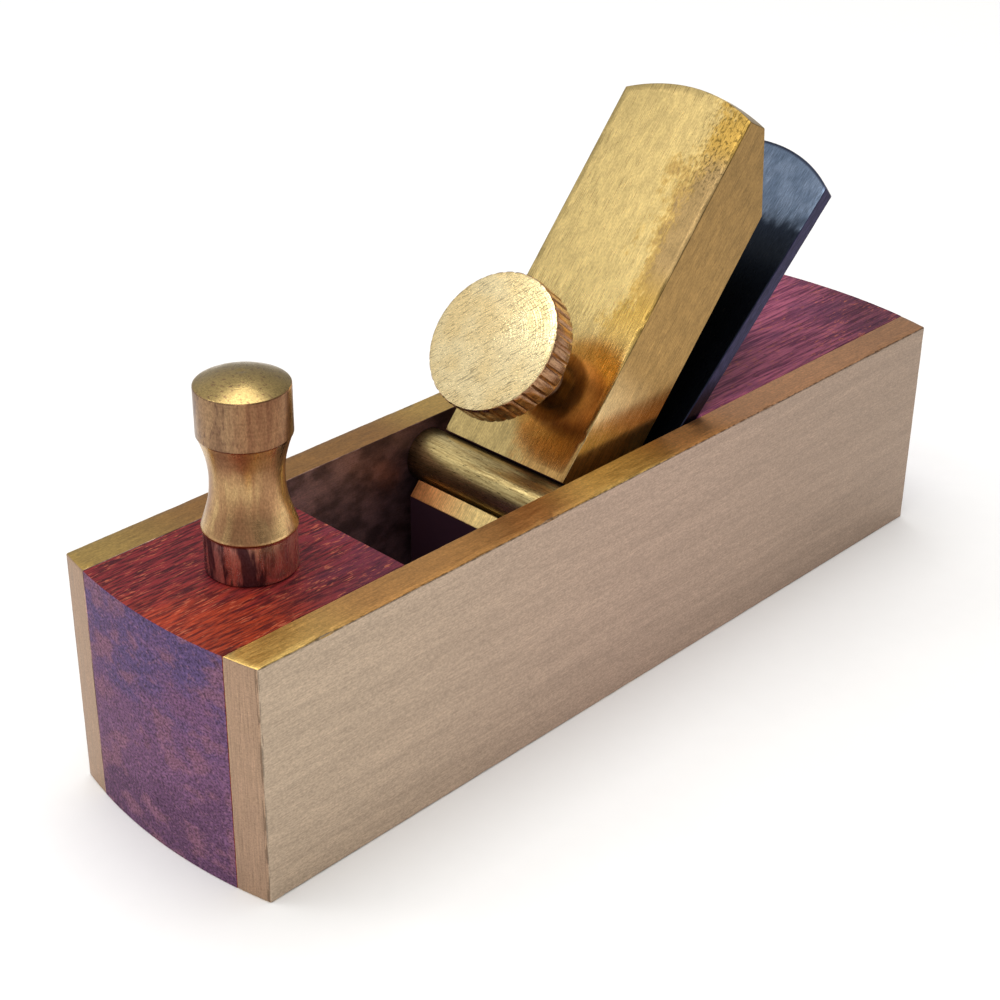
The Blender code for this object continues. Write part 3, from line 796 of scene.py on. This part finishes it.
def hardwood():
    """Red hardwood, grain along Y: orange flecks and dark pores on its sides, violet on its end grain."""
    f = Finish("red_hardwood_block", 0.0)
    f.shader.inputs["IOR"].default_value = 1.24
    on_end = f.facing(Y)
    fibre = f.grain((0.20, 2.0, 0.20), detail=4)
    band = f.grain((1.3, 12.0, 1.3), seed=3)

    # Toe block: dark red, orange-red towards its front right, purple-red towards its rear right. The borders
    # run slantwise, and the band grain makes them ragged.
    front = f.mix(f.span(fibre, 0.36, 0.62), (0.050, 0.004, 0.009), (0.205, 0.017, 0.021))
    across = f.plus(f.times(f.x, 130.0), f.times(band, 2.4))
    along = f.times(f.y, 100.0)
    orange = f.mix(f.span(fibre, 0.34, 0.64), (0.12, 0.009, 0.006), (0.41, 0.048, 0.012))
    front = f.mix(f.span(f.minus(across, along), 4.9, 6.1, 0.0, 0.85), front, orange)
    purple = f.mix(fibre, (0.065, 0.009, 0.026), (0.195, 0.034, 0.072))
    front = f.mix(f.span(f.plus(across, along), -1.8, -0.6, 0.0, 0.65), front, purple)
    front = f.shade(front, f.span(f.x, 2 * MM, 8 * MM, 1.05, 0.80))

    # Heel block: purple-pink, darker in patches and towards its rear right
    long_fibre = f.grain((0.22, 4.5, 0.22), seed=41, detail=4)
    patch = f.grain((3.5, 7.0, 3.5), seed=12)
    heel = f.mix(f.span(long_fibre, 0.34, 0.64), (0.12, 0.019, 0.058), (0.38, 0.092, 0.160))
    heel = f.mix(f.span(patch, 0.48, 0.62, 0.0, 0.5), heel, (0.105, 0.024, 0.075))
    heel = f.shade(heel, f.ramp(f.plus(f.x, f.y), 31 * MM, 47 * MM, 1.28, 0.42))

    # Flecks where pores are few, and pores where flecks are few
    fleck = f.spots((0.14, 0.9, 0.14), 0.56, 0.67, seed=6)
    pore = f.spots((0.11, 0.9, 0.11), 0.58, 0.66, seed=9)
    flecked = f.spots((1.6, 2.6, 1.6), 0.42, 0.60, seed=31)
    fleck_orange, pore_black = (0.62, 0.175, 0.085), (0.022, 0.004, 0.008)
    colour = f.zones(f.y, front, (-4 * MM, 10 * MM, heel))
    colour = f.mix(f.times(fleck, f.choose(flecked, 0.12, 0.52)), colour, fleck_orange)
    colour = f.mix(f.times(pore, f.choose(flecked, 0.55, 0.15)), colour, pore_black)

    # End grain: mauve, bluer high up and darker at the foot, with blushes, spots and speckle
    speckle = f.grain((0.22, 0.22, 0.18), seed=2, detail=4)
    stain = f.grain((3.6, 3.6, 2.4), seed=8, detail=4)
    level = f.plus(f.z, f.times(f.minus(stain, 0.5), 30 * MM))
    mauve, blue_violet = (0.155, 0.070, 0.145), (0.100, 0.060, 0.155)
    violet = f.zones(level, mauve, (10 * MM, 21 * MM, blue_violet))
    violet = f.mix(f.span(level, 9 * MM, 2 * MM, 0.0, 0.9), violet, (0.105, 0.045, 0.100))
    blush = f.spots((2.4, 2.4, 1.8), 0.50, 0.64, seed=27, detail=4)
    violet = f.mix(f.times(blush, 0.7), violet, (0.22, 0.095, 0.140))
    spots = f.spots((0.40, 0.40, 0.30), 0.56, 0.68, seed=15)
    violet = f.mix(f.times(spots, 0.40), violet, (0.28, 0.13, 0.19))
    violet = f.shade(violet, f.ramp(speckle, 0.3, 0.7, 0.38, 1.62))
    colour = f.mix(on_end, colour, violet)

    height = f.minus(f.choose(on_end, fibre, speckle), f.times(pore, 0.6))
    roughness = f.choose(on_end, f.span(fibre, 0.3, 0.7, 0.52, 0.42), 0.62)
    return f.done(colour, roughness, f.relief(height, 0.02))


def floor_paper():
    """Pale seamless paper."""
    f = Finish("floor_paper", 0.0)
    return f.done(f.mix(f.grain((2.0, 2.0, 2.0)), (0.91, 0.91, 0.91), (0.93, 0.93, 0.93)), 0.85)


# ---------------------------------------------------------------------------------------------------
# Pieces
# ---------------------------------------------------------------------------------------------------


def rod_holes(rods):
    """Holes for rods that cross the body, each a little longer and wider than its rod."""
    holes = []
    for rod in rods:
        low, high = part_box(rod)
        middle = (low + high) / 2
        reach = high.x + SEAM
        radius = (high.z - low.z) / 2 + HOLE_GAP
        holes.append((radius, (-reach, middle.y, middle.z), (reach, middle.y, middle.z)))
    return holes


def make_cheek(name, node, side, material):
    """A brass side plate. side is -1 on the left and 1 on the right."""
    outer = side * HALF_WIDTH
    inner = side * CHEEK_INNER_X

    def side_at(x):
        y = end_y(x)
        top = BODY_HEIGHT
        ring = run((-y, 0), (y, 0), CHEEK_STEPS) + run((y, 0), (y, top), CHEEK_END_STEPS)
        return ring + run((y, top), (-y, top), CHEEK_STEPS) + run((-y, top), (-y, 0), CHEEK_END_STEPS)

    def share(middle, direction):
        """The edges against the wood are only a little rounded."""
        outside = abs(middle.x) > HALF_WIDTH - SEAM
        runs_across = abs(direction.x) > 0.9
        return 1.0 if outside or runs_across else 0.3

    cheek = make_piece(name, loft(min(inner, outer), max(inner, outer), CHEEK_SLICES, side_at), material)
    soften(cheek, width=0.16 * MM, share_at=share)
    wear(cheek, depth=0.07 * MM, size=0.9 * MM, seed=side * 3.0)
    drill(cheek, rod_holes((*DOWELS, "cross_pin")))
    show(cheek, node)


def make_toe_wood(material):
    """The wood block in front of the throat."""
    half = CHEEK_INNER_X - JOINT_LINE

    def side_at(x):
        toe = -end_y(x)
        wall = (MOUTH_FRONT_Y, MOUTH_WALL_HEIGHT)
        return [(toe, 0), (MOUTH_FRONT_Y, 0), wall, (THROAT_TOP_Y, BODY_HEIGHT), (toe, BODY_HEIGHT)]

    block = make_piece("toe_wood", loft(-half, half, BLOCK_SLICES, side_at), material)
    soften(block, width=0.08 * MM)
    wear(block, depth=0.04 * MM, size=0.7 * MM, seed=11.0)
    low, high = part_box("knob_stud")
    stud_hole = (STUD_RADIUS + SEAM, (0, KNOB_Y, low.z - SEAM), (0, KNOB_Y, high.z))
    drill(block, [*rod_holes(DOWELS[:2]), stud_hole])
    show(block, "toe_block")


def make_heel_wood(material):
    """The wood block behind the throat, whose front is the iron's bed."""
    half = CHEEK_INNER_X - JOINT_LINE
    bed_top_y = BED_TOE_Y + (BODY_HEIGHT - BED_TOE_HEIGHT) / math.tan(BED_ANGLE)

    def side_at(x):
        heel = end_y(x)
        foot = (BED_TOE_Y, BED_TOE_HEIGHT)
        return [(heel, 0), (heel, BODY_HEIGHT), (bed_top_y, BODY_HEIGHT), foot, (BED_TOE_Y, 0)]

    block = make_piece("heel_wood", loft(-half, half, BLOCK_SLICES, side_at), material)
    soften(block, width=0.08 * MM)
    wear(block, depth=0.04 * MM, size=0.7 * MM, seed=17.0)
    drill(block, rod_holes(DOWELS[2:]))
    show(block, "heel_block")


def make_rods(pin_material, dowel_material):
    """The cross pin and the four dowels, which lie along X."""
    for node in (*DOWELS, "cross_pin"):
        low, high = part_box(node)
        radius = (high.z - low.z) / 2
        profile = [(0, high.x, 0), (radius, high.x, 0), (radius, low.x, 0), (0, low.x, 0)]
        build = revolve(eased(profile, ROD_EASE), ROD_SEGMENTS)
        bmesh.ops.rotate(build, verts=build.verts, matrix=Matrix.Rotation(math.pi / 2, 3, "Y"))
        material, slot = dowel_material, "satin_brass"
        if node == "cross_pin":
            material, slot = pin_material, "pin_brass"
        rod = make_piece(f"{node}_rod", build, material)
        show(set_down(rod, (low + high) / 2), node, flat_faces=False)


def make_iron(material):
    """The blade, with its ground bevel down and its top end rounded."""
    grind = IRON_THICKNESS / math.tan(GRIND_ANGLE)

    def side_at(x):
        end = IRON_LENGTH - IRON_END_RADIUS + math.sqrt(IRON_END_RADIUS**2 - x**2)
        ring = [(0.0, 0.0)] + run((grind, -IRON_THICKNESS), (end, -IRON_THICKNESS), BAR_STEPS)
        return ring + [(end, -IRON_THICKNESS)] + run((end, 0), (0, 0), BAR_STEPS)

    def share(middle, _direction):
        """The cutting edge stays sharp."""
        return 0.0 if middle.y < grind / 2 else 1.0

    iron = make_piece("iron_blade", loft(-IRON_HALF_WIDTH, IRON_HALF_WIDTH, IRON_SLICES, side_at), material)
    soften(iron, width=0.10 * MM, share_at=share)
    wear(iron, depth=0.03 * MM, size=0.9 * MM, seed=5.0)
    show(set_down(iron, IRON_PLACE, BED_ANGLE), "iron")


def in_cap_frame(y, z):
    """A point of the side view, in the lever cap's own frame."""
    dy = y - PIN_CENTRE.y
    dz = z - PIN_CENTRE.z
    along = dy * math.cos(CAP_ANGLE) + dz * math.sin(CAP_ANGLE)
    return along, dz * math.cos(CAP_ANGLE) - dy * math.sin(CAP_ANGLE)


def make_lever_cap(material):
    """The bar, slotted over the pin, with an upright nose that bears on the iron and the screw's bore."""
    nose_top = (CAP_NOSE_Y - PIN_CENTRE.y + CAP_FACE_RISE * math.sin(CAP_ANGLE)) / math.cos(CAP_ANGLE)
    nose_run = (CAP_NOSE_Y - IRON_EDGE.y + CAP_NOSE_GAP * math.sin(BED_ANGLE)) / math.cos(BED_ANGLE)
    nose_z = IRON_EDGE.z + nose_run * math.sin(BED_ANGLE) + CAP_NOSE_GAP * math.cos(BED_ANGLE)
    nose_foot = in_cap_frame(CAP_NOSE_Y, nose_z)
    land_end = nose_foot[0] + (nose_foot[1] - CAP_UNDERSIDE_RISE) / math.tan(CAP_ANGLE - BED_ANGLE)
    end_radius = (CAP_HALF_WIDTH**2 + CAP_END_BULGE**2) / (2 * CAP_END_BULGE)
    lean = math.tan(CAP_END_LEAN)
    groove = []
    for i in range(GROOVE_STEPS + 1):
        angle = math.pi + math.pi * i / GROOVE_STEPS
        groove.append((GROOVE_RADIUS * math.cos(angle), GROOVE_RADIUS * math.sin(angle)))

    def side_at(x):
        end = CAP_END_ALONG + CAP_END_BULGE - end_radius + math.sqrt(end_radius**2 - x**2)
        rise = (end + lean * CAP_FACE_RISE - CAP_BACK_CHAMFER) / (1 + lean)
        corner = (CAP_BACK_CHAMFER + rise, rise)
        heel = (CAP_BACK_CHAMFER + CAP_UNDERSIDE_RISE, CAP_UNDERSIDE_RISE)
        ring = [(nose_top, CAP_FACE_RISE), (-GROOVE_RADIUS, CAP_FACE_RISE), *groove]
        ring += run((GROOVE_RADIUS, CAP_FACE_RISE), (end, CAP_FACE_RISE), BAR_STEPS)
        ring += [(end, CAP_FACE_RISE), corner, heel, (land_end, CAP_UNDERSIDE_RISE), nose_foot]
        return ring

    cap = make_piece("lever_cap_bar", loft(-CAP_HALF_WIDTH, CAP_HALF_WIDTH, CAP_SLICES, side_at), material)
    soften(cap, width=0.07 * MM)
    wear(cap, depth=0.05 * MM, size=0.8 * MM, seed=7.0)
    set_down(cap, PIN_CENTRE, CAP_ANGLE)
    reach = 2 * CAP_UNDERSIDE_RISE * SCREW_UP
    drill(cap, [(SHANK_BORE_RADIUS, SCREW_FOOT + reach, SCREW_FOOT - reach)])
    show(cap, "lever_cap")


def flute(angle, _height):
    """Depth of the rim's straight flutes, with flat lands between them."""
    turn = angle * FLUTES / (2 * math.pi)
    share = (turn % 1.0 - FLUTE_LAND) / (1.0 - FLUTE_LAND)
    uneven = 1.0 + FLUTE_UNEVENNESS * noise.noise(Vector((math.floor(turn), 0.5, 0.5)))
    return FLUTE_DEPTH * uneven * math.sin(math.pi * share) if share > 0 else 0.0


def thread(depth, pitch):
    """Depth of a right-hand thread with narrow flats at its crest and root."""

    def cut_at(angle, height):
        across = abs((height / pitch - angle / (2 * math.pi)) % 1.0 - 0.5) * 2
        return depth * min(1.0, max(0.0, (across - THREAD_CREST) / THREAD_FLANK))

    return cut_at


def threaded_rod(radius, low, high, pitch, depth, tip_radius, tip_length):
    """A threaded rod from high to low, chamfered at its lower end."""
    count = round((high - low - tip_length) / (pitch / THREAD_STEPS))
    rings = [(0, high, 0)]
    for i in range(count + 1):
        rings.append((radius, high + (low + tip_length - high) * i / count, 1.0))
    for i in range(1, THREAD_TIP_STEPS + 1):
        share = i / THREAD_TIP_STEPS
        rings.append((radius + (tip_radius - radius) * share, low + tip_length * (1 - share), 1.0 - share))
    rings.append((0, low, 0))
    return revolve(rings, THREAD_SEGMENTS, thread(depth, pitch))


def make_thumbscrew(disc_material, thread_material):
    """The threaded shank, and the head: a fluted disc over a plain boss, hollow where the shank enters."""
    build = threaded_rod(
        radius=SHANK_RADIUS,
        low=SHANK_TIP_RISE,
        high=SHANK_TOP_RISE,
        pitch=SHANK_PITCH,
        depth=SHANK_THREAD_DEPTH,
        tip_radius=SHANK_TIP_RADIUS,
        tip_length=SHANK_TIP_LENGTH,
    )
    shank = make_piece("thumbscrew_thread", build, thread_material)
    show(set_down(shank, SCREW_FOOT, CAP_ANGLE), "thumbscrew_shank", flat_faces=False)

    profile = [(0, HEAD_TOP_RISE, 0)]
    for i in range(1, FACE_STEPS + 1):
        share = i / FACE_STEPS
        profile.append(((HEAD_RADIUS - RIM_TO_FACE) * share, HEAD_TOP_RISE - HEAD_DOME * share**2, 0.0))
    rim_top = HEAD_TOP_RISE - HEAD_DOME
    profile += [
        (HEAD_RADIUS - 0.12 * MM, rim_top - 0.03 * MM, 0.0),
        (HEAD_RADIUS - 0.03 * MM, rim_top - 0.12 * MM, 0.45),
        (HEAD_RADIUS, rim_top - 0.30 * MM, 1.0),
        (HEAD_RADIUS, HEAD_BASE_RISE + 0.20 * MM, 1.0),
        (HEAD_RADIUS - 0.10 * MM, HEAD_BASE_RISE + 0.04 * MM, 0.5),
        (HEAD_RADIUS - RIM_TO_UNDERSIDE, HEAD_BASE_RISE, 0.0),
    ]
    boss = [
        profile[-1],
        (BOSS_RADIUS, HEAD_BASE_RISE, 0.0),
        (BOSS_RADIUS, BOSS_BASE_RISE, 0.0),
        (SHANK_BORE_RADIUS, BOSS_BASE_RISE, 0.0),
        (SHANK_BORE_RADIUS, SHANK_TOP_RISE + SEAM, 0.0),
        (0.0, SHANK_TOP_RISE + SEAM, 0.0),
    ]
    profile += eased(boss, BOSS_EASE)[1:]
    head = make_piece("thumbscrew_disc", revolve(profile, FLUTES * FLUTE_POINTS, flute), disc_material)
    show(set_down(head, SCREW_FOOT, CAP_ANGLE), "thumbscrew_head", flat_faces=False)


def make_knob(knob_material, stud_material):
    """The turned knob, with a lathe's centre pit in its dome, and the stud that holds it."""
    stud_low, stud_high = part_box("knob_stud")
    head_height, head_radius = KNOB_HEAD[-1]
    top = KNOB_BASE + head_height * MM
    dome = [(0, top + KNOB_DOME - KNOB_PIT_DEPTH, 0)]
    for i in range(1, DOME_STEPS + 1):
        radius = head_radius * MM * i / DOME_STEPS
        pit = KNOB_PIT_DEPTH * max(0.0, 1 - (radius / KNOB_PIT_RADIUS) ** 2)
        dome.append((radius, top + KNOB_DOME * (1 - (i / DOME_STEPS) ** 2) - pit, 0.0))
    neck_curve = [tuple(point) for point in smooth_curve(KNOB_NECK, NECK_STEPS)]
    below = [*reversed(KNOB_HEAD[:-1]), *reversed(neck_curve), *reversed(KNOB_FOOT[:-1])]
    outline = [(radius * MM, KNOB_BASE + height * MM, 0.0) for height, radius in below]
    hole = STUD_RADIUS + SEAM
    rest = [(hole, KNOB_BASE, 0.0), (hole, stud_high.z + SEAM, 0.0), (0.0, stud_high.z + SEAM, 0.0)]
    build = revolve(eased(dome + outline + rest, KNOB_EASE), KNOB_SEGMENTS)
    knob = make_piece("front_knob_turning", build, knob_material)
    show(set_down(knob, (0, KNOB_Y, 0)), "front_knob", flat_faces=False)
    build = threaded_rod(
        radius=STUD_RADIUS,
        low=stud_low.z,
        high=stud_high.z,
        pitch=STUD_PITCH,
        depth=STUD_THREAD_DEPTH,
        tip_radius=STUD_RADIUS - STUD_THREAD_DEPTH,
        tip_length=STUD_TIP_LENGTH,
    )
    stud = make_piece("knob_stud_thread", build, stud_material)
    show(set_down(stud, (0, KNOB_Y, 0)), "knob_stud", flat_faces=False)


# ---------------------------------------------------------------------------------------------------
# Studio and camera
# ---------------------------------------------------------------------------------------------------

CAMERA_AZIMUTH = math.radians(43.506)
CAMERA_ELEVATION = math.radians(28.975)
CAMERA_ROLL = math.radians(0.771)
CAMERA_PLACE = (0.10582, -0.11713, 0.10151)
CAMERA_LENS = 71.21
CAMERA_NEAR = 0.01

FLOOR_RADIUS = 3.0
FLOOR_SEGMENTS = 96

# The tent of light: the way to its brightest part, and its strength on the far side and there
TENT_TOWARD = (-0.45, -0.50, 0.74)
TENT_DIM = 0.44
TENT_BRIGHT = 0.84
TENT_COLOUR = (1.0, 0.985, 0.965, 1.0)

WARM_LIGHT = (1.0, 0.98, 0.94)
WHITE_LIGHT = (1.0, 0.99, 0.98)


def make_camera():
    """The photo's own view: its azimuth, height and small roll."""
    camera = bpy.data.objects.new("camera", bpy.data.cameras.new("camera"))
    bpy.context.scene.collection.objects.link(camera)
    camera.data.lens = CAMERA_LENS
    camera.data.clip_start = CAMERA_NEAR
    turn = Matrix.Rotation(CAMERA_AZIMUTH, 4, "Z")
    tip = Matrix.Rotation(math.pi / 2 - CAMERA_ELEVATION, 4, "X")
    roll = Matrix.Rotation(CAMERA_ROLL, 4, "Z")
    camera.matrix_world = Matrix.Translation(CAMERA_PLACE) @ turn @ tip @ roll
    bpy.context.scene.camera = camera


def make_light(name, place, size, power, colour):
    """A square soft light that looks at the origin."""
    light = bpy.data.lights.new(name, "AREA")
    light.shape = "SQUARE"
    light.size = size
    light.energy = power
    light.color = colour
    lamp = bpy.data.objects.new(name, light)
    bpy.context.scene.collection.objects.link(lamp)
    lamp.location = place
    lamp.rotation_euler = (-Vector(place)).to_track_quat("-Z", "Y").to_euler()


def make_world():
    """A soft tent of light, brightest high in front on the left, and dimmer low at the back."""
    world = bpy.data.worlds.new("studio")
    bpy.context.scene.world = world
    world.use_nodes = True
    tree = world.node_tree
    where = tree.nodes.new("ShaderNodeTexCoord")
    toward = tree.nodes.new("ShaderNodeVectorMath")
    toward.operation = "DOT_PRODUCT"
    toward.inputs[1].default_value = TENT_TOWARD
    tree.links.new(where.outputs["Generated"], toward.inputs[0])
    spread = tree.nodes.new("ShaderNodeMapRange")
    spread.interpolation_type = "SMOOTHSTEP"
    spread.inputs["To Min"].default_value = TENT_DIM
    spread.inputs["To Max"].default_value = TENT_BRIGHT
    tree.links.new(toward.outputs["Value"], spread.inputs["Value"])
    background = tree.nodes["Background"]
    background.inputs["Color"].default_value = TENT_COLOUR
    tree.links.new(spread.outputs[0], background.inputs["Strength"])


def make_studio():
    """A pale floor, the tent and three lights, shown without Blender's filmic curve."""
    bpy.context.scene.view_settings.view_transform = "Standard"
    build = bmesh.new()
    bmesh.ops.create_circle(build, cap_ends=True, segments=FLOOR_SEGMENTS, radius=FLOOR_RADIUS)
    floor = make_piece("floor", build, floor_paper())
    make_world()
    make_light("key", (-0.28, -0.276, 0.486), size=0.09, power=0.22, colour=WARM_LIGHT)
    make_light("overhead", (-0.05, 0.0, 0.70), size=0.50, power=2.65, colour=WHITE_LIGHT)
    make_light("fill", (0.50, -0.45, 0.40), size=0.40, power=0.9, colour=WHITE_LIGHT)


def main():
    """Pieces that share a finish are given the same material."""
    make_camera()
    make_studio()
    plate = cheek_brass()
    wood = hardwood()
    drawn = hidden_brass("drawn_brass", (0.45, 0.33, 0.14), (0.66, 0.50, 0.23))
    oily = hidden_brass("oily_brass_thread", (0.10, 0.050, 0.030), (0.24, 0.13, 0.070))
    make_cheek("left_cheek_plate", "left_cheek", -1, plate)
    make_cheek("right_cheek_plate", "right_cheek", 1, plate)
    make_toe_wood(wood)
    make_heel_wood(wood)
    make_rods(pin_brass(), drawn)
    make_iron(blued_steel())
    make_lever_cap(cap_brass())
    make_thumbscrew(screw_brass(), oily)
    make_knob(knob_brass(), drawn)


main()
